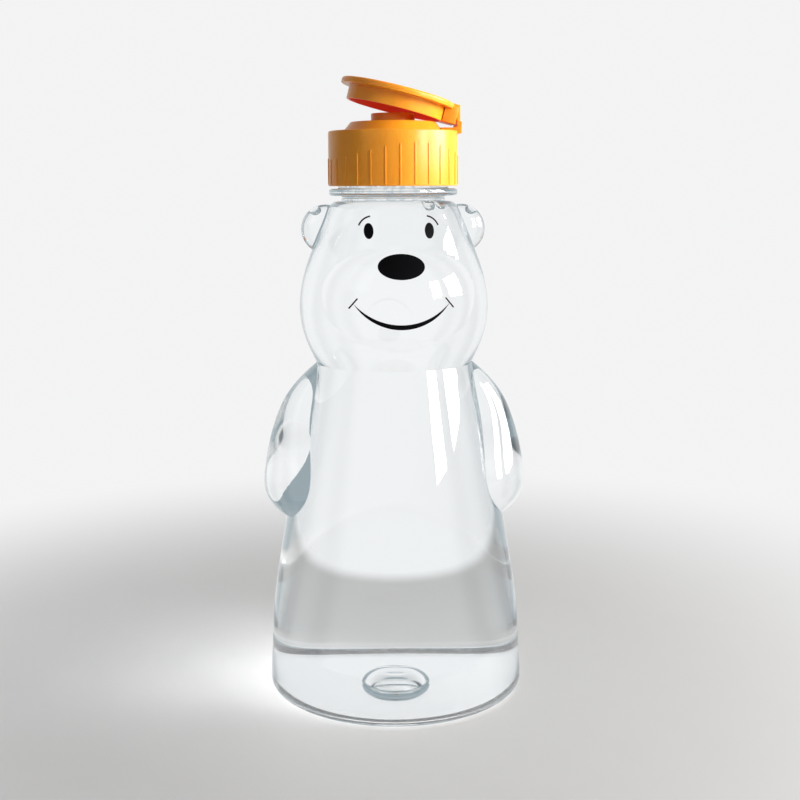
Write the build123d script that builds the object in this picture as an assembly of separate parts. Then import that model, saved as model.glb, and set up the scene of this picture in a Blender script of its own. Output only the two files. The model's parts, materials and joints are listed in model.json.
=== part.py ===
from build123d import *
import math
import os

# Honey bear bottle: a clear bottle shaped as a seated bear, with a screw cap and a hinged lid.
# The origin is the centre of the base, +Z is up and the face looks along -Y.
# The lid's hinge is on the +X side. All sizes are in millimetres.

# Body and head
crease_height = 108.8
head_height = 51.7
base_radius = 42.2
head_radius = 30.4
crease_radius = 25.2

# Bottle walls and base
wall = 0.8
floor_thickness = 1.5
base_corner = 3.0
standing_ring_width = 5.2
push_up = 0.6
push_up_disc_radius = 10.0
base_dome_radius = 7.6
base_dome_height = 4.4
gate_radius = 3.2

# Ears
ear_radius = 7.8
ear_half_depth = 5.0
ear_inset = 8.7
ear_drop = 8.9

# Muzzle
muzzle_half_width = 25.0
muzzle_radius = 22.0
muzzle_proud = 3.1
muzzle_rise = 21.2

# Arms
arm_overhang = 0.8
arm_half_depth = 17.3
arm_overlap = 1.2
arm_length = 54.5

# Neck finish
bore_radius = 15.5
neck_root_wall = 1.0
neck_wall = 2.05
neck_root_rise = 1.6
bead_radius = 20.5
bead_thickness = 2.2
bead_rounding = 0.8
finish_height = 15.2
thread_pitch = 4.23
thread_height = 1.1
thread_root_width = 2.0
thread_crest_width = 0.9
thread_bite = 0.4
thread_rise = 5.1
thread_turns = 1.75

# Screw cap
cap_wall = 1.45
cap_lift_gap = 0.8
roof_thickness = 1.6
cap_edge_rounding = 0.4
deck_ledge = 4.8
deck_bevel = 2.3
deck_rise = 2.8
deck_wall = 1.4
collar_radius = 6.9
collar_bore = 5.6
collar_lip_radius = 4.7
collar_lip = 0.8
collar_rise = 2.65
collar_rounding = 0.3

# Grip ribs on the cap
rib_count = 28
rib_width = 0.45
rib_proud = 0.22
rib_root = 0.4
rib_foot = 0.4
rib_height_high = 12.6
rib_height_low = 7.8
rib_phase = 0.15
rib_arch_turn = 18.0

# Liner
liner_thickness = 1.0
liner_inset = 0.5
liner_overhang = 0.75

# Valve and its retainer
valve_flange = 1.0
valve_skin = 0.5
valve_dish_radius = 3.8
slit_length = 5.0
slit_width = 0.12
retainer_wall = 1.35
retainer_flange = 1.0
retainer_ledge = 2.0

# Lid
lid_inset = 2.3
lid_thickness = 1.9
lid_rounding = 0.8
lid_skirt_wall = 0.8
lid_skirt_lift = 1.55
plug_wall = 0.8
plug_depth = 1.0

# Hinge between cap and lid
hinge_overhang = 0.1
hinge_rise = 2.25
hinge_width = 10.0
knuckle_radius = 0.75
lid_knuckle_width = 6.0
hinge_shelf_rise = 0.95
hinge_shelf_drop = 0.9
hinge_shelf_root = 1.0
hinge_block_inset = 0.5
strap_thickness = 1.1
strap_overhang = 1.0
strap_tab_root = 2.0
lid_rest_angle = 13.8

# Printed face
ink = 0.15
eye_spread = 9.25
eye_drop = 8.8
eye_half_width = 1.45
eye_half_height = 2.37
brow_line = 0.45
nose_half_width = 7.08
nose_half_height = 3.75
nose_rise = 11.3
mouth_half_width = 14.55
mouth_rise = 0.5
mouth_depth = 7.15
mouth_line = 1.5
dimple_length = 4.1
dimple_line = 0.42

# Clearances
print_gap = 0.04
liner_gap = 0.05
fit_gap = 0.05
thread_gap = 0.4
knuckle_gap = 0.3
plug_gap = 0.4
lid_gap = 0.5
lid_skirt_gap = 0.25
overrun = 5.0

# Shares of the base radius and of the crease height, from the base corner up to the crease
body_shares = [
    (0.993, 0.0735),
    (0.976, 0.184),
    (0.947, 0.303),
    (0.903, 0.414),
    (0.853, 0.524),
    (0.782, 0.662),
    (0.692, 0.827),
    (0.640, 0.919),
]

# Shares of the head radius and of the head's height, from the crease up
head_shares = [
    (0.934, 0.139),
    (0.984, 0.246),
    (1.0, 0.362),
    (0.980, 0.472),
    (0.928, 0.594),
    (0.865, 0.696),
    (0.776, 0.832),
    (0.706, 0.928),
    (0.670, 0.972),
    (0.617, 0.996),
    (0.575, 1.0),
]
head_middle_share = 0.362

# Arm sections from top to bottom: share of the arm's height, of its reach, of its half depth,
# and of the reach where the section is deepest
arm_shares = [
    (1.0, 0.555, 0.17, 0.50),
    (0.90, 0.698, 0.36, 0.57),
    (0.78, 0.823, 0.46, 0.625),
    (0.64, 0.905, 0.57, 0.65),
    (0.497, 0.958, 0.75, 0.655),
    (0.354, 0.991, 0.95, 0.645),
    (0.235, 1.0, 1.0, 0.66),
    (0.128, 0.942, 0.83, 0.68),
    (0.046, 0.840, 0.50, 0.68),
    (0.0, 0.765, 0.22, 0.66),
]

# Shares of the standing ring's inner radius and of the push-up, along the hollow under the base
push_up_middle_shares = (0.71, 0.64)

# Shares of the dome's radius and of its height, half way down its side
dome_middle_shares = (0.83, 0.60)

# Brow points as shares of the eye spread and of the eye's half height above its centre
brow_shares = [(1.31, 0.68), (1.17, 1.43), (0.935, 1.86)]
dimple_slope = -50.0

# Heights that follow, from the shoulder up
shoulder_height = crease_height + head_height
bead_bottom = shoulder_height + neck_root_rise
bead_top = bead_bottom + bead_thickness
rim_height = bead_top + finish_height
thread_start = bead_top + thread_rise
cap_bottom = bead_top + cap_lift_gap
cap_roof = rim_height + liner_thickness + liner_gap
cap_shoulder = cap_roof + roof_thickness
deck_height = cap_shoulder + deck_rise
deck_roof = deck_height - deck_wall
collar_top = deck_height + collar_rise
lid_underside = collar_top + lid_gap
lid_top = lid_underside + lid_thickness
lid_skirt_bottom = cap_shoulder + lid_skirt_lift
hinge_height = cap_shoulder + hinge_rise

# Radii that follow, from the bore out
neck_root_radius = bore_radius + neck_root_wall
neck_radius = bore_radius + neck_wall
cap_inner_radius = neck_radius + thread_height + thread_gap
cap_radius = cap_inner_radius + cap_wall
deck_foot_radius = cap_radius - deck_ledge
deck_radius = deck_foot_radius - deck_bevel
deck_slope = deck_bevel / deck_rise
lid_radius = cap_radius - lid_inset
lid_skirt_inner = deck_foot_radius - deck_slope * lid_skirt_lift + lid_skirt_gap
plug_radius = collar_lip_radius - plug_gap
retainer_bore = collar_bore - fit_gap - retainer_wall
hinge_reach = cap_radius + hinge_overhang
hinge_axis = Axis((hinge_reach, 0, hinge_height), (0, 1, 0))

# Places on the bear that follow
arm_reach = base_radius + arm_overhang
arm_top = crease_height + arm_overlap
arm_bottom = arm_top - arm_length
ear_reach = head_radius - ear_inset
ear_height = shoulder_height - ear_drop
muzzle_height = crease_height + muzzle_rise
muzzle_set_forward = head_radius + muzzle_proud - muzzle_radius
eye_height = shoulder_height - eye_drop
nose_height = muzzle_height + nose_rise
mouth_end_height = muzzle_height + mouth_rise


def body_line(grow):
    """Side of the body, from the base corner to the crease."""
    foot = (base_radius + grow, base_corner)
    points = [foot]
    for radius_share, height_share in body_shares:
        points.append((radius_share * base_radius + grow, height_share * crease_height))
    points.append((crease_radius + grow, crease_height))
    return points


def head_line(grow):
    """Side of the head, from the crease to the flat shoulder round the neck."""
    points = [(crease_radius + grow, crease_height)]
    for radius_share, height_share in head_shares:
        up_share = max(0, (height_share - head_middle_share) / (1 - head_middle_share))
        height = crease_height + height_share * head_height + grow * up_share
        points.append((radius_share * head_radius + grow, height))
    return points


def torso(grow, floor):
    """Body and head turned about the bottle's axis, with the walls moved out by grow."""
    body_points = body_line(grow)
    head_points = head_line(grow)
    ring_outer = base_radius - base_corner
    ring_inner = ring_outer - standing_ring_width
    middle_radius, middle_height = push_up_middle_shares
    corner_mid = base_corner * (1 - math.sqrt(0.5))
    disc_level = floor + push_up
    gate_level = disc_level + base_dome_height
    dome_radius = base_dome_radius - grow
    dome_middle, dome_middle_height = dome_middle_shares
    with BuildPart() as made:
        with BuildSketch(Plane.XZ):
            with BuildLine():
                Line((0, gate_level), (gate_radius - grow, gate_level))
                ThreePointArc(
                    (gate_radius - grow, gate_level),
                    (dome_middle * dome_radius, disc_level + dome_middle_height * base_dome_height),
                    (dome_radius, disc_level),
                )
                Line((dome_radius, disc_level), (push_up_disc_radius, disc_level))
                ThreePointArc(
                    (push_up_disc_radius, disc_level),
                    (middle_radius * ring_inner, floor + middle_height * push_up),
                    (ring_inner, floor),
                )
                Line((ring_inner, floor), (ring_outer + grow, floor))
                ThreePointArc(
                    (ring_outer + grow, floor),
                    (base_radius + grow - corner_mid, floor + corner_mid * (1 - floor / base_corner)),
                    body_points[0],
                )
                Spline(*body_points)
                Spline(*head_points)
                Polyline(head_points[-1], (0, head_points[-1][1]), (0, gate_level))
            make_face()
        revolve(axis=Axis.Z)
    return made.part


def spheroid(half_length, radius, axis):
    """Ellipsoid with one round section, turned about the given axis."""
    side = Plane(origin=(0, 0, 0), x_dir=axis.direction, z_dir=Vector(0, 0, 1).cross(axis.direction))
    outline = Ellipse(half_length, radius) & Pos(0, radius) * Rectangle(2 * half_length, 2 * radius)
    return revolve(side * outline, axis=axis)


def arm_section(shares, grow, side):
    """One level section of an arm."""
    height_share, reach_share, depth_share, centre_share = shares
    centre = centre_share * arm_reach
    half_width = reach_share * arm_reach - centre + grow
    half_depth = depth_share * arm_half_depth + grow
    height = arm_bottom + height_share * (arm_top - arm_bottom)
    return Pos(side * centre, 0, height) * Ellipse(half_width, half_depth)


def arm(grow, side):
    """A paw-ended arm that lies along the side of the body."""
    return loft([arm_section(shares, grow, side) for shares in arm_shares])


def bear_form(grow, floor):
    """The whole bear without its neck, with every wall moved out by grow."""
    form = torso(grow, floor)
    form += Pos(0, -muzzle_set_forward, muzzle_height) * spheroid(
        muzzle_half_width + grow, muzzle_radius + grow, Axis.X)
    for side in (-1, 1):
        ear = spheroid(ear_half_depth + grow, ear_radius + grow, Axis.Y)
        form += Pos(side * ear_reach, 0, ear_height) * ear
        form += arm(grow, side)
    return form


def ring(outer, inner, bottom, top):
    """Round ring about the bottle's axis."""
    sketch = Circle(outer) - Circle(inner)
    return extrude(Pos(0, 0, bottom) * sketch, top - bottom)


def disc(radius, bottom, top):
    """Round disc about the bottle's axis."""
    return extrude(Pos(0, 0, bottom) * Circle(radius), top - bottom)


def thread(root, crest, start, turns):
    """Helical thread from its root radius towards its crest radius, which may lie inside it."""
    out = 1 if crest > root else -1
    path = Helix(thread_pitch, turns * thread_pitch, root, center=(0, 0, start))
    across = Plane(origin=path @ 0, x_dir=(out, 0, 0), z_dir=path % 0)
    outline = Polygon(
        (-thread_bite, -thread_root_width / 2),
        (0, -thread_root_width / 2),
        (abs(crest - root), -thread_crest_width / 2),
        (abs(crest - root), thread_crest_width / 2),
        (0, thread_root_width / 2),
        (-thread_bite, thread_root_width / 2),
        align=None,
    )
    return sweep(across * outline, path=path, is_frenet=True)


def bottle():
    """Blow-moulded bear with its neck finish, hollow and open at the mouth."""
    made = bear_form(0, 0)
    made += disc(neck_root_radius, shoulder_height - wall, bead_bottom)
    bead = disc(bead_radius, bead_bottom, bead_top)
    made += fillet(bead.edges().filter_by(GeomType.CIRCLE), bead_rounding)
    made += disc(neck_radius, bead_top, rim_height)
    made -= bear_form(-wall, floor_thickness)
    made -= disc(bore_radius, shoulder_height - overrun, rim_height + overrun)
    made += thread(neck_radius, neck_radius + thread_height, thread_start, thread_turns)
    return made


def rib_height(angle):
    """Height of a grip rib: greatest at the front and back, least near the hinge and the thumb side."""
    middle = (rib_height_high + rib_height_low) / 2
    swing = (rib_height_high - rib_height_low) / 2
    return middle - swing * math.cos(2 * math.radians(angle - rib_arch_turn))


def grip_ribs():
    """Thin upright ribs round the cap's skirt, under an arched line."""
    ribs = []
    for number in range(rib_count):
        angle = 360 * (number + rib_phase) / rib_count
        size = (rib_root + rib_proud, rib_width, rib_height(angle))
        rib = Box(*size, align=(Align.MAX, Align.CENTER, Align.MIN))
        ribs.append(Rot(0, 0, angle) * Pos(cap_radius + rib_proud, 0, cap_bottom + rib_foot) * rib)
    return ribs


def hinge_shelf():
    """Shelf from the foot of the deck out to the hinge line."""
    length = hinge_reach - deck_foot_radius + hinge_shelf_root
    height = hinge_shelf_rise + hinge_shelf_drop
    shelf = Box(length, hinge_width, height, align=(Align.MAX, Align.CENTER, Align.MIN))
    return Pos(hinge_reach, 0, cap_shoulder - hinge_shelf_drop) * shelf


def cap_posts():
    """The two knuckles of the hinge that stand on the cap."""
    width = (hinge_width - lid_knuckle_width) / 2 - knuckle_gap
    height = hinge_rise + hinge_shelf_drop
    posts = []
    for side in (-1, 1):
        middle = side * (hinge_width - width) / 2
        knuckle = Pos(hinge_reach, middle, hinge_height) * Rot(90, 0, 0) * Cylinder(knuckle_radius, width)
        post = Box(2 * knuckle_radius, width, height, align=(Align.CENTER, Align.CENTER, Align.MAX))
        posts += [knuckle, Pos(hinge_reach, middle, hinge_height) * post]
    return posts


def cap_shell():
    """Screw cap: skirt with an inner thread, raised deck and the collar of the spout."""
    foot_edge = cap_shoulder - cap_edge_rounding
    edge_mid = cap_edge_rounding * (1 - math.sqrt(0.5))
    roof_step = deck_foot_radius - deck_wall
    with BuildPart() as made:
        with BuildSketch(Plane.XZ):
            with BuildLine():
                Polyline((cap_inner_radius, cap_bottom), (cap_radius, cap_bottom), (cap_radius, foot_edge))
                ThreePointArc(
                    (cap_radius, foot_edge),
                    (cap_radius - edge_mid, cap_shoulder - edge_mid),
                    (cap_radius - cap_edge_rounding, cap_shoulder),
                )
                Polyline(
                    (cap_radius - cap_edge_rounding, cap_shoulder),
                    (deck_foot_radius, cap_shoulder),
                    (deck_radius, deck_height),
                    (collar_radius, deck_height),
                    (collar_radius, collar_top - collar_rounding),
                    (collar_radius - collar_rounding, collar_top),
                    (collar_lip_radius, collar_top),
                    (collar_lip_radius, collar_top - collar_lip),
                    (collar_bore, collar_top - collar_lip),
                    (collar_bore, deck_roof),
                    (roof_step - deck_slope * (deck_roof - cap_roof), deck_roof),
                    (roof_step, cap_roof),
                    (cap_inner_radius, cap_roof),
                    (cap_inner_radius, cap_bottom),
                )
            make_face()
        revolve(axis=Axis.Z)
    shell = made.part
    for piece in grip_ribs() + cap_posts() + [hinge_shelf()]:
        shell += piece
    crest = cap_inner_radius - thread_height
    return shell + thread(cap_inner_radius, crest, thread_start - thread_pitch / 2, thread_turns)


def closure_liner():
    """Sealing ring between the bottle's rim and the cap's roof."""
    outer = neck_radius + liner_overhang
    inner = bore_radius - liner_inset
    return ring(outer, inner, rim_height, rim_height + liner_thickness)


def silicone_valve():
    """Soft disc with a cross slit, under the lip of the collar."""
    top = collar_top - collar_lip
    bottom = top - valve_flange
    made = disc(collar_bore - fit_gap, bottom, top)
    made -= disc(valve_dish_radius, bottom + valve_skin, top + overrun)
    for angle in (0, 90):
        slit = Box(slit_length, slit_width, overrun)
        made -= Pos(0, 0, bottom) * Rot(0, 0, angle) * slit
    return made


def valve_retainer():
    """Flanged ring that is pushed into the collar from below and holds the valve."""
    sleeve_top = collar_top - collar_lip - valve_flange
    made = ring(collar_bore - fit_gap, retainer_bore, deck_roof - retainer_flange, sleeve_top)
    made += ring(collar_bore + retainer_ledge, retainer_bore, deck_roof - retainer_flange, deck_roof)
    return made


def lid_plate():
    """The lid's round plate with its softened edge."""
    plate = disc(lid_radius, lid_underside, lid_top)
    top_edge = plate.edges().filter_by(GeomType.CIRCLE).sort_by(Axis.Z)[-1]
    return fillet(top_edge, lid_rounding)


def lid_ring(outer, inner, bottom):
    """Ring that hangs from the underside of the lid's plate."""
    return ring(outer, inner, bottom, lid_underside + lid_thickness / 2)


def hinge_block():
    """Block between the lid's skirt and the hinge."""
    length = hinge_reach - knuckle_radius - hinge_block_inset - lid_skirt_inner
    height = lid_underside - lid_skirt_bottom + lid_thickness / 2
    block = Box(length, hinge_width, height, align=(Align.MIN, Align.CENTER, Align.MIN))
    block = Pos(lid_skirt_inner, 0, lid_skirt_bottom) * block
    return block - disc(lid_skirt_inner, lid_skirt_bottom - overrun, lid_underside)


def hinge_strap():
    """Strap down to the hinge line, with its tab on the lid's rim and the lid's own knuckle."""
    low = (hinge_reach, hinge_height)
    high = (lid_radius + strap_overhang, lid_top)
    length = math.hypot(high[0] - low[0], high[1] - low[1])
    lean = math.degrees(math.atan2(low[0] - high[0], high[1] - low[1]))
    bar = Box(strap_thickness, lid_knuckle_width, length, align=(Align.CENTER, Align.CENTER, Align.MIN))
    strap = Pos(low[0], 0, low[1]) * Rot(0, -lean, 0) * bar
    tab = Box(
        strap_tab_root + strap_overhang,
        lid_knuckle_width,
        lid_thickness,
        align=(Align.MAX, Align.CENTER, Align.MAX),
    )
    knuckle = Pos(hinge_reach, 0, hinge_height) * Rot(90, 0, 0) * Cylinder(knuckle_radius, lid_knuckle_width)
    return strap + Pos(high[0], 0, high[1]) * tab + knuckle


def lid():
    """Flip lid with its skirt, plug ring, hinge block and strap, opened to its rest angle."""
    made = lid_plate() + lid_ring(lid_skirt_inner + lid_skirt_wall, lid_skirt_inner, lid_skirt_bottom)
    made += lid_ring(plug_radius, plug_radius - plug_wall, lid_underside - plug_depth)
    made += hinge_block()
    made += hinge_strap()
    return made.rotate(hinge_axis, lid_rest_angle)


def front_print(outline, skin):
    """An outline in the XZ plane, printed on the front of the bear's skin."""
    stamp = extrude(Plane.XZ * outline, base_radius)
    return stamp & skin


def eye(side):
    """Upright oval eye."""
    return Pos(side * eye_spread, eye_height) * Ellipse(eye_half_width, eye_half_height)


def brow(side):
    """Short curved brow over an eye."""
    points = []
    for spread_share, height_share in brow_shares:
        points.append((side * spread_share * eye_spread, eye_height + height_share * eye_half_height))
    return trace(ThreePointArc(*points), line_width=brow_line)


def nose():
    """Wide oval nose."""
    return Pos(0, nose_height) * Ellipse(nose_half_width, nose_half_height)


def mouth():
    """Smile that thins towards its ends, with a dimple across each end."""
    left = (-mouth_half_width, mouth_end_height)
    right = (mouth_half_width, mouth_end_height)
    upper = ThreePointArc(left, (0, mouth_end_height - mouth_depth + mouth_line / 2), right)
    lower = ThreePointArc(left, (0, mouth_end_height - mouth_depth - mouth_line / 2), right)
    smile = make_face([upper, lower])
    for side in (-1, 1):
        dimple = Rot(0, 0, side * dimple_slope) * SlotOverall(dimple_length, dimple_line)
        smile += Pos(side * mouth_half_width, mouth_end_height) * dimple
    return smile


def printed_face():
    """Every printed mark of the face, by name."""
    skin = bear_form(print_gap + ink, 0) - bear_form(print_gap, 0)
    marks = {"printed_nose": nose(), "printed_mouth": mouth()}
    for side, name in ((-1, "left"), (1, "right")):
        marks["printed_eye_" + name] = eye(side)
        marks["printed_brow_" + name] = brow(side)
    return {name: front_print(outline, skin) for name, outline in marks.items()}


os.makedirs("parts", exist_ok=True)
pieces = {
    "bottle": bottle(),
    "closure_liner": closure_liner(),
    "cap_shell": cap_shell(),
    "silicone_valve": silicone_valve(),
    "valve_retainer": valve_retainer(),
    "lid": lid(),
}
pieces.update(printed_face())
for name, piece in pieces.items():
    export_step(piece, "parts/" + name + ".step")
    print(name, round(piece.volume, 2))
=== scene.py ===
"""Honey bear bottle: the clear bottle, its contents, the ribbed cap and the flip lid, with their looks."""
import json
import math
from types import SimpleNamespace

import bmesh
import bpy
import numpy
from bpy.props import FloatProperty, FloatVectorProperty, IntProperty, PointerProperty
from mathutils import Matrix, Vector


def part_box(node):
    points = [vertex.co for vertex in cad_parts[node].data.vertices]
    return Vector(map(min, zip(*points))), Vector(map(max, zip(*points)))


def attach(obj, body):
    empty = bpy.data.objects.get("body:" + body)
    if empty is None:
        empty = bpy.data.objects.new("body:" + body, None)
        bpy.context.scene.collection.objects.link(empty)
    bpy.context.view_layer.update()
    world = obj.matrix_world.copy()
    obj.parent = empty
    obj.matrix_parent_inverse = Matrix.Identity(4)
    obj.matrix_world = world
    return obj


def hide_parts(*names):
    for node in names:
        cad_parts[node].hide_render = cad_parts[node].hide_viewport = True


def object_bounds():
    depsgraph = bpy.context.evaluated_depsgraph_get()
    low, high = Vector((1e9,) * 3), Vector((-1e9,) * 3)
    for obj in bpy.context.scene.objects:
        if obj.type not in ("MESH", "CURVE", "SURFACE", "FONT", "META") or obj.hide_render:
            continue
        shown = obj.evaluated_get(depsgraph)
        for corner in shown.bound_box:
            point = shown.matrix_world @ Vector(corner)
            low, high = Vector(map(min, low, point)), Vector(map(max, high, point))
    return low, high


bl_info = {
    "name": "Honey Bear Bottle",
    "version": (1, 0, 0),
    "blender": (4, 5, 0),
    "location": "View3D > Sidebar > Honey Bear",
    "description": "Models and dresses a bear-shaped squeeze bottle with a ribbed flip-top cap",
    "category": "Add Mesh",
}

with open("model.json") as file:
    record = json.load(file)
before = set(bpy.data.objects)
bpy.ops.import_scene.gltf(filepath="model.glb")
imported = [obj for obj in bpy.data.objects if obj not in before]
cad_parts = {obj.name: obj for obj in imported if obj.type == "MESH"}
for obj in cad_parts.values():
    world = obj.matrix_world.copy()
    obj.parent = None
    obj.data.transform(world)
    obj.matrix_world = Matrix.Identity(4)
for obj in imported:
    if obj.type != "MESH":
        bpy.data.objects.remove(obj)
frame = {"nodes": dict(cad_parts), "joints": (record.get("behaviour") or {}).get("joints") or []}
cad_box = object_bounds()
rim_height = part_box("bottle")[1].z
hinge = next(joint for joint in frame["joints"] if joint["name"] == "lid_hinge")
hinge_point = Vector(hinge["pos_m"])
lid_rest_angle = -math.radians(hinge["range_deg"][0])

# Shares of the base radius and of the crease height, from the base corner up to the crease
body_shares = [
    (0.993, 0.0735),
    (0.976, 0.184),
    (0.947, 0.303),
    (0.903, 0.414),
    (0.853, 0.524),
    (0.782, 0.662),
    (0.692, 0.827),
    (0.640, 0.919),
]

# Shares of the head radius and of the head's height, from the crease up
head_shares = [
    (0.934, 0.139),
    (0.984, 0.246),
    (1.0, 0.362),
    (0.980, 0.472),
    (0.928, 0.594),
    (0.865, 0.696),
    (0.776, 0.832),
    (0.706, 0.928),
    (0.670, 0.972),
    (0.617, 0.996),
    (0.575, 1.0),
]
head_middle_share = 0.362

# Arm sections from top to bottom: share of the arm's height, of its reach, of its half depth,
# and of the reach where the section is deepest
arm_shares = [
    (1.0, 0.555, 0.17, 0.50),
    (0.90, 0.698, 0.36, 0.57),
    (0.78, 0.823, 0.46, 0.625),
    (0.64, 0.905, 0.57, 0.65),
    (0.497, 0.958, 0.75, 0.655),
    (0.354, 0.991, 0.95, 0.645),
    (0.235, 1.0, 1.0, 0.66),
    (0.128, 0.942, 0.83, 0.68),
    (0.046, 0.840, 0.50, 0.68),
    (0.0, 0.765, 0.22, 0.66),
]

# Shares of the standing ring's inner radius and of the push-up, along the hollow under the base
push_up_middle_shares = (0.71, 0.64)

# Shares of the dome's radius and of its height, half way down its side
dome_middle_shares = (0.83, 0.60)

# Air bubbles under the top of the head: shares of the head radius across and forward, and of a bubble's size
bubble_shares = [(0.303, 0.46, 1.0), (0.425, 0.39, 0.88)]

# Depth of a bubble's middle under the top that holds it, as a share of its radius, in the head and in an ear
bubble_sink_share = 0.55
ear_air_sink_share = 0.5

# Part of the lid's skirt, from outside in, that keeps the outside's colour; the rest takes the inside's
# painted shade and glow
skirt_outside_share = 0.4

# Fineness of the shapes
outline_divisions = 26
arm_divisions = 44
arm_segments = 72
lobe_segments = 96
lobe_rings = 64
dome_steps = 20
hollow_steps = 24
corner_steps = 8
bore_steps = 12
thread_steps = 72
knuckle_segments = 32
bevel_segments = 2
merge_distance = 1e-7

# Edges that are sharper than these stay crisp
bottle_edge_angle = math.radians(28)
cap_edge_angle = math.radians(35)


def length(label, default):
    """A length that the sidebar can change."""
    return FloatProperty(name=label, default=default, unit="LENGTH", precision=5)


def degrees(label, default):
    """An angle that the sidebar can change, given in degrees."""
    return FloatProperty(name=label, default=math.radians(default), subtype="ANGLE")


def plain_number(label, default):
    """A plain number that the sidebar can change."""
    return FloatProperty(name=label, default=default)


def whole_number(label, default, least):
    """A whole number that the sidebar can change."""
    return IntProperty(name=label, default=default, min=least)


def colour(label, default):
    """A colour that the sidebar can change."""
    return FloatVectorProperty(name=label, default=default, subtype="COLOR", size=3, min=0.0, max=1.0)


class HONEYBEAR_PG_bottle(bpy.types.PropertyGroup):
    """Sizes of the blown bottle."""

    crease_height: length("Height of the waist between body and head", 0.1088)
    head_height: length("Height from the waist to the shoulder", 0.0517)
    base_radius: length("Radius of the body at the base", 0.0422)
    head_radius: length("Widest radius of the head", 0.0304)
    crease_radius: length("Radius at the waist", 0.0252)
    wall: length("Wall thickness", 0.0008)
    floor: length("Thickness of the floor", 0.0015)
    base_corner: length("Radius of the corner round the base", 0.003)
    standing_ring: length("Width of the ring the bottle stands on", 0.0052)
    push_up: length("Height of the hollow under the base", 0.0006)
    push_up_disc: length("Radius of the level disc in the middle of the base", 0.010)
    base_dome: length("Radius of the dome in the middle of the base", 0.0076)
    base_dome_height: length("Height of the dome over the disc", 0.0044)
    gate: length("Radius of the flat on the dome", 0.0032)
    ear_radius: length("Radius of an ear", 0.0078)
    ear_half_depth: length("Half the thickness of an ear", 0.005)
    ear_reach: length("Distance of an ear from the axis", 0.0217)
    ear_height: length("Height of an ear's middle", 0.1516)
    muzzle_half_width: length("Half the width of the muzzle", 0.025)
    muzzle_radius: length("Radius of the muzzle from the side", 0.022)
    muzzle_forward: length("Distance of the muzzle's middle from the axis", 0.0115)
    muzzle_height: length("Height of the muzzle's middle", 0.130)
    arm_reach: length("Distance of the arm's outer side from the axis", 0.043)
    arm_half_depth: length("Half the greatest depth of an arm", 0.0173)
    arm_top: length("Height where the arm starts", 0.110)
    arm_length: length("Length of the arm", 0.0545)
    bore: length("Radius of the bottle's mouth", 0.0155)
    neck_root: length("Radius of the neck under the bead", 0.0165)
    neck_root_rise: length("Height of the neck under the bead", 0.0016)
    bead: length("Radius of the neck bead", 0.0205)
    bead_thickness: length("Thickness of the neck bead", 0.0022)
    bead_rounding: length("Rounding of the neck bead", 0.0008)
    neck: length("Radius of the threaded neck", 0.01755)
    rim_rounding: length("Rounding of the rim", 0.0004)
    thread_pitch: length("Rise of the thread in a turn", 0.00423)
    thread_height: length("Height of the thread over its root", 0.0011)
    thread_root: length("Width of the thread at its root", 0.002)
    thread_crest: length("Width of the thread at its crest", 0.0009)
    thread_bite: length("Depth of the thread's root in its wall", 0.0004)
    thread_rise: length("Height of the thread's start over the bead", 0.0051)
    thread_turns: plain_number("Turns of the thread", 1.75)
    around: whole_number("Faces round the bottle", 168, 24)


class HONEYBEAR_PG_contents(bpy.types.PropertyGroup):
    """Sizes of the liquid and of the air in it."""

    surface_drop: length("Depth of the liquid's surface under the rim", 0.0105)
    skin: length("Gap between the liquid and the wall", 0.00001)
    bubble: length("Radius of an air bubble", 0.0021)
    bubble_flat: plain_number("Height of a bubble by its width", 0.8)
    ear_air: length("Half the width of the air caught in an ear", 0.0018)
    ear_air_out: length("Distance of the air in an ear from the ear's middle", 0.003)


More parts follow.
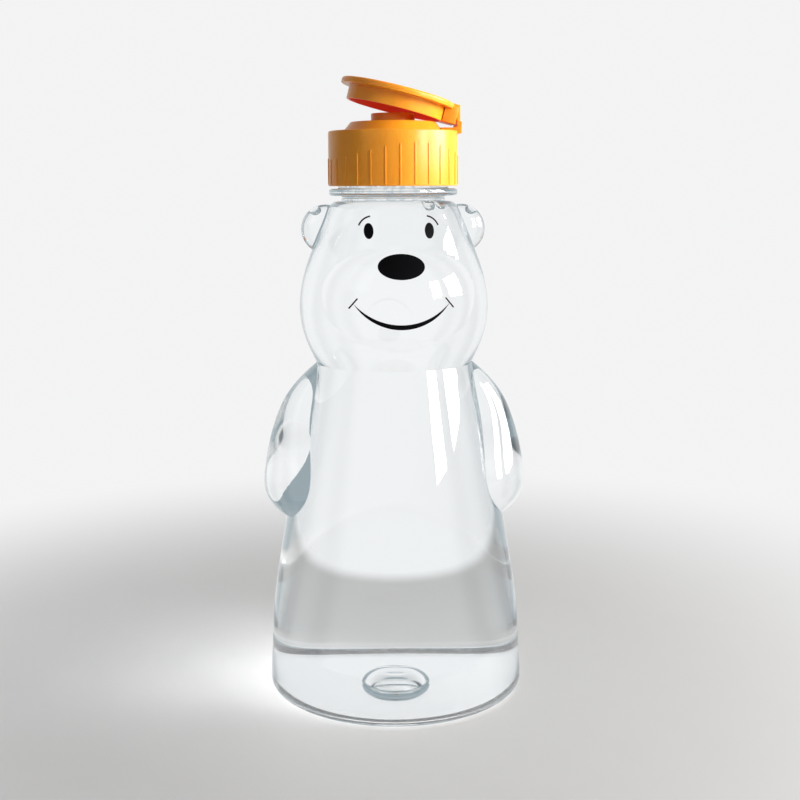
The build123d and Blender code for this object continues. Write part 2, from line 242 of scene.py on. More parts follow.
class HONEYBEAR_PG_cap(bpy.types.PropertyGroup):
    """Sizes of the screw cap and of the lid."""

    radius: length("Radius of the cap's skirt", 0.0205)
    wall: length("Wall of the cap's skirt", 0.00145)
    foot_gap: length("Gap between the bead and the cap", 0.0008)
    liner: length("Room for the liner over the rim", 0.00105)
    roof: length("Thickness of the cap's roof", 0.0016)
    shoulder_rounding: length("Rounding of the cap's upper edge", 0.0005)
    foot_rounding: length("Rounding of the skirt's foot", 0.00025)
    deck_ledge: length("Width of the ledge round the deck", 0.0048)
    deck_bevel: length("Width of the deck's bevel", 0.0023)
    deck_rise: length("Height of the deck over the ledge", 0.0028)
    deck_wall: length("Thickness of the deck", 0.0014)
    deck_rounding: length("Rounding of the deck's edges", 0.0004)
    collar: length("Radius of the spout collar", 0.0069)
    collar_bore: length("Radius inside the collar", 0.0056)
    collar_lip: length("Radius inside the collar's lip", 0.0047)
    collar_lip_drop: length("Thickness of the collar's lip", 0.0008)
    collar_rise: length("Height of the collar over the deck", 0.00265)
    collar_rounding: length("Rounding of the collar", 0.0003)
    rib_count: whole_number("Grip ribs round the cap", 28, 3)
    rib_width: length("Width of a grip rib", 0.00045)
    rib_proud: length("Height of a rib over the skirt", 0.00022)
    rib_root: length("Depth of a rib's root in the skirt", 0.0004)
    rib_foot: length("Height of a rib's foot over the skirt's foot", 0.0004)
    rib_high: length("Length of the longest rib", 0.0126)
    rib_low: length("Length of the shortest rib", 0.0078)
    rib_rounding: length("Rounding of a rib", 0.00012)
    rib_phase: plain_number("Turn of the first rib, by the ribs' spacing", 0.15)
    rib_arch_turn: degrees("Turn of the arched line over the ribs", 18)
    lid_inset: length("Inset of the lid from the cap's skirt", 0.0023)
    lid_gap: length("Gap between collar and shut lid", 0.0005)
    lid_thickness: length("Thickness of the lid's plate", 0.0019)
    lid_rounding: length("Rounding of the lid's upper edge", 0.0008)
    lid_lip_rounding: length("Rounding of the lid's lower edge", 0.0003)
    skirt_gap: length("Gap between lid skirt and deck", 0.00025)
    skirt_wall: length("Wall of the lid's skirt", 0.0008)
    skirt_lift: length("Gap between lid skirt and ledge", 0.00155)
    plug_gap: length("Gap between plug and collar", 0.0004)
    plug_wall: length("Wall of the plug ring", 0.0008)
    plug_depth: length("Depth of the plug ring", 0.001)
    hinge_width: length("Width of the hinge", 0.010)
    knuckle: length("Radius of a hinge knuckle", 0.00075)
    knuckle_gap: length("Gap between the hinge's knuckles", 0.0003)
    lid_knuckle: length("Width of the lid's knuckle", 0.006)
    shelf_rise: length("Height of the hinge shelf over the ledge", 0.00095)
    shelf_drop: length("Depth of the hinge shelf under the ledge", 0.0009)
    shelf_root: length("Length of the hinge shelf inside the deck's foot", 0.001)
    block_inset: length("Gap between hinge block and knuckle", 0.0005)
    strap: length("Thickness of the hinge strap", 0.0011)
    strap_overhang: length("Distance of the strap outside the lid's rim", 0.001)
    strap_tab: length("Length of the strap's tab inside the lid's rim", 0.002)
    edge_rounding: length("Rounding of small moulded edges", 0.00015)
    around: whole_number("Faces round the cap", 160, 24)


class HONEYBEAR_PG_finish(bpy.types.PropertyGroup):
    """Colours of the finishes."""

    amber: colour("Colour of cap and lid", (0.84, 0.335, 0.02))
    # The lid's inside is redder than the plastic: painted shade and painted glow of light shining through the
    # lid
    lid_inside_painted_colour: colour("Colour of the lid's shaded inside", (0.90, 0.085, 0.03))
    clear_tint: colour("Tint of the bottle", (0.985, 0.992, 0.995))
    ink: colour("Colour of the printed face", (0.002, 0.002, 0.0025))
    foam: colour("Colour of the liner", (0.82, 0.82, 0.79))
    silicone: colour("Colour of the valve", (0.72, 0.73, 0.72))
    trapped: colour("Colour of light caught deep in the clear parts", (0.30, 0.37, 0.40))
    backdrop: colour("Colour of the background", (0.90, 0.90, 0.905))
    floor: colour("Colour of the floor", (0.41, 0.41, 0.415))


class HONEYBEAR_PG_studio(bpy.types.PropertyGroup):
    """Camera and lamps."""

    distance: length("Level distance from the bottle's axis", 0.3983)
    height: length("Height over the floor", 0.1654)
    azimuth: degrees("Turn of the camera round the bottle", -4.5)
    pitch: degrees("Downward tilt of the camera", 9.91)
    aim: degrees("Turn of the camera off the bottle's axis", -0.27)
    roll: degrees("Roll of the camera", -0.26)
    focal_share: plain_number("Focal length by sensor width", 1231 / 800)
    lamp_distance: length("Distance of the lamps", 0.9)
    key_height: length("Height of the window light", 0.40)
    key_pane: length("Width of the window's narrow pane", 0.22)
    fill_size: length("Side of the fill light", 0.6)
    floor_radius: length("Radius of the floor", 5.0)
    pool_radius: length("Where the floor starts to pale", 0.09)
    pool_fade: length("Where the floor is as pale as the background", 0.32)
    clear_pool_radius: length("Where the floor seen through the bottle starts to pale", 0.092)
    clear_pool_fade: length("Where the floor seen through the bottle is pale", 0.104)
    key_level: plain_number("Light from the window by plain white", 2.85)
    fill_level: plain_number("Light from the fill by plain white", 0.06)
    room_level: plain_number("Light from the room by plain white", 0.19)


def smooth_line(points, step):
    """Natural cubic line through points of any dimension, as points about step apart."""
    knots = numpy.array(points, dtype=float)
    gaps = numpy.linalg.norm(numpy.diff(knots, axis=0), axis=1)
    count = len(knots)
    system = numpy.eye(count)
    right = numpy.zeros_like(knots)
    for row in range(1, count - 1):
        before, after = gaps[row - 1], gaps[row]
        system[row, row - 1:row + 2] = before, 2 * (before + after), after
        right[row] = 6 * ((knots[row + 1] - knots[row]) / after - (knots[row] - knots[row - 1]) / before)
    bend = numpy.linalg.solve(system, right)
    starts = numpy.concatenate(([0.0], numpy.cumsum(gaps)))
    total = starts[-1]
    line = []
    for place in numpy.linspace(0.0, total, max(2, round(total / step)) + 1):
        span = min(int(numpy.searchsorted(starts, place, side="right")) - 1, count - 2)
        gap = gaps[span]
        near, far = starts[span + 1] - place, place - starts[span]
        value = (bend[span] * near ** 3 + bend[span + 1] * far ** 3) / (6 * gap)
        value += (knots[span] / gap - bend[span] * gap / 6) * near
        value += (knots[span + 1] / gap - bend[span + 1] * gap / 6) * far
        line.append(tuple(value))
    return line


def rounded_outline(corners, steps=5):
    """Closed outline of straight sides whose corners (across, up, rounding) are arcs."""
    outline = []
    count = len(corners)
    for number, (across, up, rounding) in enumerate(corners):
        corner = Vector((across, up))
        if rounding == 0:
            outline.append((across, up))
            continue
        back = (Vector(corners[number - 1][:2]) - corner).normalized()
        ahead = (Vector(corners[(number + 1) % count][:2]) - corner).normalized()
        half = back.angle(ahead) / 2
        middle = corner + (back + ahead).normalized() * (rounding / math.sin(half))
        start = corner + back * (rounding / math.tan(half)) - middle
        end = corner + ahead * (rounding / math.tan(half)) - middle
        turn = start.angle_signed(end)
        for step in range(steps + 1):
            spoke = start.copy()
            spoke.rotate(Matrix.Rotation(-turn * step / steps, 2))
            outline.append(tuple(middle + spoke))
    return outline


def arc(start, middle, end, steps):
    """Points of the arc through three points, without its last point."""
    first, second, third = Vector(start), Vector(middle), Vector(end)
    a, b = second - first, third - first
    cross = 2 * (a.x * b.y - a.y * b.x)
    offset = Vector((
        (b.y * a.length_squared - a.y * b.length_squared) / cross,
        (a.x * b.length_squared - b.x * a.length_squared) / cross,
    ))
    centre = first + offset
    spoke = first - centre
    turn = (third - centre).angle_signed(spoke)
    points = []
    for step in range(steps):
        turned = spoke.copy()
        turned.rotate(Matrix.Rotation(turn * step / steps, 2))
        points.append(tuple(centre + turned))
    return points


def make_object(name, bm, materials=()):
    """Turns a bmesh into an object at the origin."""
    mesh = bpy.data.meshes.new(name)
    bm.to_mesh(mesh)
    bm.free()
    for material in materials:
        mesh.materials.append(material)
    made = bpy.data.objects.new(name, mesh)
    bpy.context.scene.collection.objects.link(made)
    return made


def make_solid(name, bm, materials=()):
    """Turns a closed bmesh into an object whose faces look outward."""
    bmesh.ops.recalc_face_normals(bm, faces=bm.faces)
    return make_object(name, bm, materials)


def spun_solid(name, outline, steps, materials=()):
    """Solid from a closed outline of (radius, height) spun about the bottle's axis."""
    bm = bmesh.new()
    verts = [bm.verts.new((radius, 0.0, height)) for radius, height in outline]
    edges = [bm.edges.new(pair) for pair in zip(verts, verts[1:] + verts[:1])]
    bmesh.ops.spin(
        bm, geom=verts + edges, cent=(0, 0, 0), axis=(0, 0, 1), angle=math.tau, steps=steps, use_merge=True)
    bmesh.ops.remove_doubles(bm, verts=bm.verts, dist=merge_distance)
    return make_solid(name, bm, materials)


def combine(target, tool, operation="UNION"):
    """Joins the tool's solid to the target's, or cuts it away, and deletes the tool."""
    if not tool.data.materials:
        for material in target.data.materials:
            tool.data.materials.append(material)
    cut = target.modifiers.new("cut", "BOOLEAN")
    cut.operation = operation
    cut.solver = "MANIFOLD"
    cut.object = tool
    bpy.context.view_layer.update()
    evaluated = target.evaluated_get(bpy.context.evaluated_depsgraph_get())
    mesh = bpy.data.meshes.new_from_object(evaluated)
    if not mesh.polygons:
        raise RuntimeError(f"{operation} of {tool.name} left nothing of {target.name}")
    target.modifiers.clear()
    old = target.data
    target.data = mesh
    bpy.data.meshes.remove(old)
    bpy.data.objects.remove(tool)


def shade_by_angle(made, angle):
    """Smooth shading, with edges sharper than the angle kept crisp."""
    bm = bmesh.new()
    bm.from_mesh(made.data)
    for face in bm.faces:
        face.smooth = True
    for edge in bm.edges:
        edge.smooth = len(edge.link_faces) == 2 and edge.calc_face_angle(0.0) < angle
    bm.to_mesh(made.data)
    bm.free()


def place(made, body, slot, *nodes):
    """Rides a piece on its body and hides the CAD nodes it stands for. Its slot is not used."""
    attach(made, body)
    if nodes:
        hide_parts(*nodes)


# Bottle


def body_outline(size, grow, step):
    """Side of the body, from the base corner to the crease."""
    points = [(size.base_radius + grow, size.base_corner)]
    for radius_share, height_share in body_shares:
        points.append((radius_share * size.base_radius + grow, height_share * size.crease_height))
    points.append((size.crease_radius + grow, size.crease_height))
    return smooth_line(points, step)


def head_outline(size, grow, step):
    """Side of the head, from the crease to the shoulder."""
    points = [(size.crease_radius + grow, size.crease_height)]
    for radius_share, height_share in head_shares:
        up_share = max(0, (height_share - head_middle_share) / (1 - head_middle_share))
        height = size.crease_height + height_share * size.head_height + grow * up_share
        points.append((radius_share * size.head_radius + grow, height))
    return smooth_line(points, step)[1:]


def base_outline(size, grow, floor):
    """Underside of the base from the axis out to the corner."""
    ring_outer = size.base_radius - size.base_corner
    ring_inner = ring_outer - size.standing_ring
    level = floor + size.push_up
    gate_level = level + size.base_dome_height
    dome = size.base_dome - grow
    middle_radius, middle_height = push_up_middle_shares
    dome_middle, dome_middle_height = dome_middle_shares
    corner_mid = size.base_corner * (1 - math.sqrt(0.5))
    points = [(0.0, gate_level), ((size.gate - grow) / 2, gate_level)]
    points += arc(
        (size.gate - grow, gate_level),
        (dome_middle * dome, level + dome_middle_height * size.base_dome_height),
        (dome, level),
        dome_steps,
    )
    points.append((dome, level))
    points += arc(
        (size.push_up_disc, level),
        (middle_radius * ring_inner, floor + middle_height * size.push_up),
        (ring_inner, floor),
        hollow_steps,
    )
    points += [(ring_inner, floor), ((ring_inner + ring_outer) / 2, floor)]
    points += arc(
        (ring_outer + grow, floor),
        (size.base_radius + grow - corner_mid, floor + corner_mid * (1 - floor / size.base_corner)),
        (size.base_radius + grow, size.base_corner),
        corner_steps,
    )
    return points


def neck_outline(size):
    """Outer side of the neck finish, from the shoulder to the rim and back to the axis."""
    shoulder = size.crease_height + size.head_height
    bead_low = shoulder + size.neck_root_rise
    bead_high = bead_low + size.bead_thickness
    corners = [
        (size.neck_root, shoulder, 0),
        (size.neck_root, bead_low, size.bead_rounding / 2),
        (size.bead, bead_low, size.bead_rounding),
        (size.bead, bead_high, size.bead_rounding),
        (size.neck, bead_high, size.bead_rounding / 2),
        (size.neck, rim_height, size.rim_rounding),
        (size.bore / 2, rim_height, 0),
    ]
    return rounded_outline(corners)[:-1] + [(size.bore / 2, rim_height), (0.0, rim_height)]


def bore_outline(size):
    """Inner side of the neck, from the inner shoulder to above the rim and back to the axis."""
    shoulder = size.crease_height + size.head_height - size.wall
    above = rim_height + size.bead_thickness
    rise = [shoulder + (above - shoulder) * step / bore_steps for step in range(bore_steps + 1)]
    return [(size.bore, height) for height in rise] + [(0.0, above)]


def torso_outline(size, grow, floor, top):
    """Outline of body, head and neck."""
    step = size.base_radius / outline_divisions
    side = body_outline(size, grow, step) + head_outline(size, grow, step)
    return base_outline(size, grow, floor) + side + top


def spheroid(name, centre, radii, pole):
    """Egg shape with its poles along the given axis."""
    bm = bmesh.new()
    turn = pole.to_track_quat("Z", "Y").to_matrix().to_4x4()
    matrix = Matrix.Translation(centre) @ Matrix.Diagonal((*radii, 1.0)) @ turn
    bmesh.ops.create_uvsphere(bm, u_segments=lobe_segments, v_segments=lobe_rings, radius=1.0, matrix=matrix)
    return make_solid(name, bm)


def arm(name, size, grow, side):
    """Paw-ended arm, drawn ring by ring down the side of the body."""
    bm = bmesh.new()
    rows = []
    for height_share, reach_share, depth_share, centre_share in arm_shares:
        centre = centre_share * size.arm_reach
        half_width = reach_share * size.arm_reach - centre + grow
        half_depth = depth_share * size.arm_half_depth + grow
        rows.append((centre, size.arm_top - (1 - height_share) * size.arm_length, half_width, half_depth))
    rows = smooth_line(rows, size.arm_length / arm_divisions)
    last = Matrix.Identity(4)
    ring = bmesh.ops.create_circle(bm, segments=arm_segments, radius=1.0)["verts"]
    edges = list(bm.edges)
    bmesh.ops.edgeloop_fill(bm, edges=edges)
    for number, (centre, height, half_width, half_depth) in enumerate(rows):
        if number:
            made = bmesh.ops.extrude_edge_only(bm, edges=edges)["geom"]
            ring = [part for part in made if isinstance(part, bmesh.types.BMVert)]
            edges = [part for part in made if isinstance(part, bmesh.types.BMEdge)]
            edges = [edge for edge in edges if all(vert in ring for vert in edge.verts)]
        row = Matrix.Translation((side * centre, 0, height))
        row = row @ Matrix.Diagonal((half_width, half_depth, 1.0, 1.0))
        bmesh.ops.transform(bm, matrix=row @ last.inverted(), verts=ring)
        last = row
    bmesh.ops.edgeloop_fill(bm, edges=edges)
    return make_solid(name, bm)


def bear_solid(name, size, grow, floor, top, materials, slot):
    """Solid bear with every wall moved out by grow: torso, muzzle, ears and arms, in one material slot."""
    made = spun_solid(name, torso_outline(size, grow, floor, top), size.around, materials)
    centre = Vector((0, -size.muzzle_forward, size.muzzle_height))
    radii = (size.muzzle_half_width + grow, size.muzzle_radius + grow, size.muzzle_radius + grow)
    lobes = [spheroid("muzzle", centre, radii, Vector((0, 0, 1)))]
    for side in (-1, 1):
        centre = Vector((side * size.ear_reach, 0, size.ear_height))
        radii = (size.ear_radius + grow, size.ear_half_depth + grow, size.ear_radius + grow)
        lobes.append(spheroid("ear", centre, radii, Vector((0, 1, 0))))
        lobes.append(arm("arm", size, grow, side))
    for lobe in lobes:
        combine(made, lobe)
    for face in made.data.polygons:
        face.material_index = slot
    return made


def thread(name, size, root, crest, start):
    """Screw thread as a trapezoid drawn round a helix."""
    bm = bmesh.new()
    out = 1 if crest > root else -1
    bite = root - out * size.thread_bite
    half_root, half_crest = size.thread_root / 2, size.thread_crest / 2
    corners = [(bite, -half_root), (root, -half_root), (crest, -half_crest),
               (crest, half_crest), (root, half_root), (bite, half_root)]
    verts = [bm.verts.new((radius, 0.0, start + height)) for radius, height in corners]
    face = bm.faces.new(verts)
    steps = int(thread_steps * size.thread_turns)
    rise = size.thread_pitch * size.thread_turns / steps
    bmesh.ops.spin(
        bm, geom=[face] + list(face.edges) + verts, cent=(0, 0, 0), axis=(0, 0, 1), dvec=(0, 0, rise),
        angle=math.tau * size.thread_turns, steps=steps, use_duplicate=False)
    bmesh.ops.remove_doubles(bm, verts=bm.verts, dist=merge_distance)
    return make_solid(name, bm)


def bubbles(size, contents):
    """Centres and radii of the air caught in the liquid: under the head's top and in each ear."""
    top = size.crease_height + size.head_height - size.wall
    found = []
    for across, forward, size_share in bubble_shares:
        radius = contents.bubble * size_share
        height = top - radius * bubble_sink_share
        centre = Vector((across * size.head_radius, -forward * size.head_radius, height))
        found.append((centre, (radius, radius, radius * contents.bubble_flat)))
    for side in (-1, 1):
        radius = contents.ear_air
        room = size.ear_radius - size.wall
        top = size.ear_height + math.sqrt(room ** 2 - contents.ear_air_out ** 2)
        height = top - radius * ear_air_sink_share
        centre = Vector((side * (size.ear_reach + contents.ear_air_out), 0, height))
        found.append((centre, (radius, radius, radius * contents.bubble_flat)))
    return found


def in_bubble(point, found):
    """Whether a point lies in one of the bubbles."""
    offsets = [(point - centre, radii) for centre, radii in found]
    return any(sum((offset[axis] / radii[axis]) ** 2 for axis in range(3)) < 1 for offset, radii in offsets)


class HONEYBEAR_OT_bottle(bpy.types.Operator):
    """Blow-moulded bear with muzzle, ears, arms and threaded neck"""

    bl_idname = "honeybear.bottle"
    bl_label = "Bear Bottle"

    def execute(self, context):
        size = context.scene.honeybear_bottle
        contents = context.scene.honeybear_contents
        dry = clear_plastic("Clear plastic", dry_index)
        wet = clear_plastic("Clear plastic against liquid", wet_index)
        made = bear_solid("bear_bottle", size, 0.0, 0.0, neck_outline(size), [dry, wet], 0)
        cavity = bear_solid("cavity", size, -size.wall, size.floor, bore_outline(size), [dry, wet], 1)
        combine(made, cavity, "DIFFERENCE")
        bead_high = size.crease_height + size.head_height + size.neck_root_rise + size.bead_thickness
        start = bead_high + size.thread_rise
        combine(made, thread("thread", size, size.neck, size.neck + size.thread_height, start))
        surface = rim_height - contents.surface_drop
        air = bubbles(size, contents)
        for face in made.data.polygons:
            if face.material_index == 1 and (face.center.z > surface or in_bubble(face.center, air)):
                face.material_index = 0
        shade_by_angle(made, bottle_edge_angle)
        place(made, "bottle", "clear_pet", "bottle")
        return {"FINISHED"}


class HONEYBEAR_OT_contents(bpy.types.Operator):
    """Clear liquid up to the neck, with the air bubbles caught in it"""

    bl_idname = "honeybear.contents"
    bl_label = "Clear Liquid"

    def execute(self, context):
        size = context.scene.honeybear_bottle
        contents = context.scene.honeybear_contents
        side = liquid_side("Liquid against the wall")
        surface = clear_liquid("Liquid surface")
        grow = -size.wall - contents.skin
        made = bear_solid(
            "clear_liquid", size, grow, size.floor + contents.skin, bore_outline(size), [surface, side], 1)
        for centre, radii in bubbles(size, contents):
            combine(made, spheroid("bubble", centre, radii, Vector((0, 0, 1))), "DIFFERENCE")
        bm = bmesh.new()
        bm.from_mesh(made.data)
        cut = bmesh.ops.bisect_plane(
            bm, geom=list(bm.verts) + list(bm.edges) + list(bm.faces),
            plane_co=(0, 0, rim_height - contents.surface_drop), plane_no=(0, 0, 1), clear_outer=True)
        rim = [part for part in cut["geom_cut"] if isinstance(part, bmesh.types.BMEdge)]
        for face in bmesh.ops.edgeloop_fill(bm, edges=rim)["faces"]:
            face.material_index = 0
        bm.to_mesh(made.data)
        bm.free()
        shade_by_angle(made, bottle_edge_angle)
        place(made, "bottle", "clear_pet")
        return {"FINISHED"}


# Cap and lid


def cap_levels(size, bottle):
    """Heights of the cap's parts and radii that follow, from the bead up."""
    bead_high = bottle.crease_height + bottle.head_height + bottle.neck_root_rise + bottle.bead_thickness
    roof = rim_height + size.liner
    ledge = roof + size.roof
    deck = ledge + size.deck_rise
    collar = deck + size.collar_rise
    deck_foot = size.radius - size.deck_ledge
    slope = size.deck_bevel / size.deck_rise
    return SimpleNamespace(
        foot=bead_high + size.foot_gap,
        thread=bead_high + bottle.thread_rise - bottle.thread_pitch / 2,
        roof=roof,
        ledge=ledge,
        deck=deck,
        collar=collar,
        deck_foot=deck_foot,
        slope=slope,
        lid_under=collar + size.lid_gap,
        lid_top=collar + size.lid_gap + size.lid_thickness,
        skirt_foot=ledge + size.skirt_lift,
        skirt_inner=deck_foot - slope * size.skirt_lift + size.skirt_gap,
    )


def moulded_block(name, low, high, rounding):
    """Box with rounded edges."""
    bm = bmesh.new()
    low, high = Vector(low), Vector(high)
    matrix = Matrix.Translation((low + high) / 2) @ Matrix.Diagonal((*(high - low), 1.0))
    bmesh.ops.create_cube(bm, size=1.0, matrix=matrix)
    bmesh.ops.bevel(
        bm, geom=list(bm.edges), offset=rounding, segments=bevel_segments, profile=0.5, affect="EDGES",
        material=-1, clamp_overlap=True)
    return make_solid(name, bm)


def knuckle(name, size, middle, width):
    """Hinge knuckle along the hinge line."""
    bm = bmesh.new()
    matrix = Matrix.Translation(hinge_point + Vector((0, middle, 0))) @ Matrix.Rotation(math.pi / 2, 4, "X")
    bmesh.ops.create_cone(
        bm, cap_ends=True, segments=knuckle_segments, radius1=size.knuckle, radius2=size.knuckle, depth=width,
        matrix=matrix)
    return make_solid(name, bm)


def cap_ribs(size, level):
    """Upright grip ribs under an arched line, lowest near the hinge and the thumb side."""
    ribs = []
    middle, swing = (size.rib_high + size.rib_low) / 2, (size.rib_high - size.rib_low) / 2
    for number in range(size.rib_count):
        angle = math.tau * (number + size.rib_phase) / size.rib_count
        rise = middle - swing * math.cos(2 * (angle - size.rib_arch_turn))
        foot = level.foot + size.rib_foot
        rib = moulded_block(
            "rib",
            (size.radius - size.rib_root, -size.rib_width / 2, foot),
            (size.radius + size.rib_proud, size.rib_width / 2, foot + rise),
            size.rib_rounding,
        )
        rib.data.transform(Matrix.Rotation(angle, 4, "Z"))
        ribs.append(rib)
    return ribs


def hinge_shelf(size, level):
    """Shelf from the foot of the deck out to the hinge line."""
    half_width = size.hinge_width / 2
    low = (level.deck_foot - size.shelf_root, -half_width, level.ledge - size.shelf_drop)
    high = (hinge_point.x, half_width, level.ledge + size.shelf_rise)
    return moulded_block("shelf", low, high, size.edge_rounding)


def cap_posts(size, level):
    """Knuckles on the cap, one at each end of the hinge, with the posts and the shelf that carry them."""
    width = (size.hinge_width - size.lid_knuckle) / 2 - size.knuckle_gap
    drop = hinge_point.z - level.ledge + size.shelf_drop
    parts = [hinge_shelf(size, level)]
    for side in (-1, 1):
        middle = side * (size.hinge_width - width) / 2
        parts.append(knuckle("cap_knuckle", size, middle, width))
        low = hinge_point + Vector((-size.knuckle, middle - width / 2, -drop))
        high = hinge_point + Vector((size.knuckle, middle + width / 2, 0))
        parts.append(moulded_block("post", low, high, size.edge_rounding))
    return parts


class HONEYBEAR_OT_cap(bpy.types.Operator):
    """Ribbed screw cap with its raised deck, spout collar and hinge posts"""

    bl_idname = "honeybear.cap"
    bl_label = "Ribbed Cap"

    def execute(self, context):
        size = context.scene.honeybear_cap
        bottle = context.scene.honeybear_bottle
        level = cap_levels(size, bottle)
        inner = size.radius - size.wall
        roof_step = level.deck_foot - size.deck_wall
        deck_roof = level.deck - size.deck_wall
        small = size.edge_rounding
        lip = level.collar - size.collar_lip_drop
        corners = [
            (inner, level.foot, size.foot_rounding),
            (size.radius, level.foot, size.foot_rounding),
            (size.radius, level.ledge, size.shoulder_rounding),
            (level.deck_foot, level.ledge, size.deck_rounding),
            (level.deck_foot - size.deck_bevel, level.deck, size.deck_rounding),
            (size.collar, level.deck, size.collar_rounding),
            (size.collar, level.collar, size.collar_rounding),
            (size.collar_lip, level.collar, small),
            (size.collar_lip, lip, small),
            (size.collar_bore, lip, 0),
            (size.collar_bore, deck_roof, small),
            (roof_step - level.slope * (deck_roof - level.roof), deck_roof, small),
            (roof_step, level.roof, small),
            (inner, level.roof, 0),
        ]
        amber = amber_plastic("Amber cap plastic", context.scene.honeybear_finish.amber)
        made = spun_solid("ribbed_cap", rounded_outline(corners), size.around, [amber])
        for part in cap_ribs(size, level) + cap_posts(size, level):
            combine(made, part)
        combine(made, thread("cap_thread", bottle, inner, inner - bottle.thread_height, level.thread))
        shade_by_angle(made, cap_edge_angle)
        place(made, "cap", "amber_plastic", "cap_shell")
        return {"FINISHED"}


def hinge_strap(size, level):
    """Strap down to the hinge line and the tab that joins it to the lid's rim."""
    half, half_width = size.strap / 2, size.lid_knuckle / 2
    rim = size.radius - size.lid_inset
    high = Vector((rim + size.strap_overhang, 0, level.lid_top))
    run = high - hinge_point
    strap = moulded_block(
        "strap", (-half, -half_width, 0), (half, half_width, run.length), size.edge_rounding)
    lean = math.atan2(run.x, run.z)
    strap.data.transform(Matrix.Translation(hinge_point) @ Matrix.Rotation(lean, 4, "Y"))
    low = (rim - size.strap_tab, -half_width, level.lid_top - size.lid_thickness)
    tab = moulded_block("tab", low, (high.x, half_width, high.z), size.edge_rounding)
    return [strap, tab]


def hinge_block(size, level):
    """Block between the lid's skirt and the hinge."""
    low = (level.skirt_inner + size.skirt_wall / 2, -size.hinge_width / 2, level.skirt_foot)
    end = hinge_point.x - size.knuckle - size.block_inset
    high = (end, size.hinge_width / 2, level.lid_under + size.lid_thickness / 2)
    return moulded_block("hinge_block", low, high, size.edge_rounding)


class HONEYBEAR_OT_lid(bpy.types.Operator):
    """Flip lid with skirt, plug ring and hinge strap, opened to its rest angle"""

    bl_idname = "honeybear.lid"
    bl_label = "Flip Lid"

    def execute(self, context):
        size = context.scene.honeybear_cap
        finish = context.scene.honeybear_finish
        level = cap_levels(size, context.scene.honeybear_bottle)
        rim = size.radius - size.lid_inset
        inner = level.skirt_inner
        outer = inner + size.skirt_wall
        plug = size.collar_lip - size.plug_gap
        small = size.edge_rounding
        under = level.lid_under
        corners = [
            (0.0, under, 0),
            (plug - size.plug_wall, under, small),
            (plug - size.plug_wall, under - size.plug_depth, small),
            (plug, under - size.plug_depth, small),
            (plug, under, small),
            (inner, under, small),
            (inner, level.skirt_foot, small),
            (outer, level.skirt_foot, small),
            (outer, under, small * 2),
            (rim, under, size.lid_lip_rounding),
            (rim, level.lid_top, size.lid_rounding),
            (rim / 2, level.lid_top, 0),
            (0.0, level.lid_top, 0),
        ]
        outside = amber_plastic("Amber lid plastic", finish.amber)
        # Redder colour and glow on the lid's inside: painted shade and painted light shining through the
        # plastic
        inside = amber_plastic("Lid inside painted glow", finish.lid_inside_painted_colour, lid_inside_painted_glow)
        made = spun_solid("flip_lid", rounded_outline(corners), size.around, [outside, inside])
        parts = [
            hinge_block(size, level),
            *hinge_strap(size, level),
            knuckle("lid_knuckle", size, 0.0, size.lid_knuckle),
        ]
        for part in parts:
            combine(made, part)
        # Faces under the plate and inside the skirt take the inside's painted shade and glow
        for face in made.data.polygons:
            away = Vector((face.center.x, face.center.y)).length
            inward = away < outer - size.skirt_wall * skirt_outside_share
            if inward and face.center.z < under + size.lid_thickness / 2:
                face.material_index = 1
        turn = Matrix.Rotation(lid_rest_angle, 4, Vector(hinge["axis"]))
        made.data.transform(Matrix.Translation(hinge_point) @ turn @ Matrix.Translation(-hinge_point))
        shade_by_angle(made, cap_edge_angle)
        place(made, "lid", "amber_plastic", "lid")
        return {"FINISHED"}


# Materials

# Tones round the room: share of the level direction that points sideways, and the tone there
room_tones = [(0.0, 0.93), (0.81, 0.93), (0.87, 0.62), (0.92, 0.17), (0.97, 0.15), (1.0, 0.65)]

dry_index = 1.57
wet_index = 1.57 / 1.33
surface_index = 1.33
# Painted glow on the lid's inside, standing for light shining through the lid
lid_inside_painted_glow = 0.1
peel_distance = 0.0001
gloss_swing = 0.16

# Red and green that a grey of the room loses, by how dark it is, and blue that the room's light gains
red_loss = 0.16
green_loss = 0.05
blue_gain = 1.02

# Light that has met this many surfaces counts as trapped in the clear parts
trapped_depths = {"Ray Depth": 8.5, "Glossy Depth": 3.5, "Transparent Depth": 5.5}

# Rays that show the floor's far part to the eye: straight, mirrored, or through a clear surface
seen_rays = ("Is Camera Ray", "Is Glossy Ray", "Is Transmission Ray")

white = (1.0, 1.0, 1.0)
lamp_light_tint = (0.95, 0.955, 0.96)


def join(tree, value, socket):
    """Links an output to a socket, or gives the socket a value of its own."""
    if isinstance(value, bpy.types.NodeSocket):
        tree.links.new(value, socket)
    else:
        socket.default_value = value


def add(tree, kind, inputs=(), **settings):
    """Shader node with its settings, and with values or links on its inputs."""
    node = tree.nodes.new("ShaderNode" + kind)
    for name, value in settings.items():
        setattr(node, name, value)
    for socket, value in dict(inputs).items():
        join(tree, value, node.inputs[socket])
    return node


def maths(tree, operation, *values):
    """Outcome of a sum on up to three values."""
    return add(tree, "Math", enumerate(values), operation=operation).outputs["Value"]


def greatest(tree, values):
    """Greatest of several values."""
    most = values[0]
    for value in values[1:]:
        most = maths(tree, "MAXIMUM", most, value)
    return most


def colour_mix(tree, amount, first, second):
    """Colour between two others."""
    return add(tree, "Mix", {"Factor": amount, "A": first, "B": second}, data_type="RGBA").outputs["Result"]


def shader_mix(tree, amount, first, second):
    """Shader between two others."""
    return add(tree, "MixShader", {0: amount, 1: first.outputs[0], 2: second.outputs[0]})


def show(tree, shader):
    """Puts a shader on the material's output."""
    join(tree, shader.outputs[0], tree.nodes["Material Output"].inputs["Surface"])


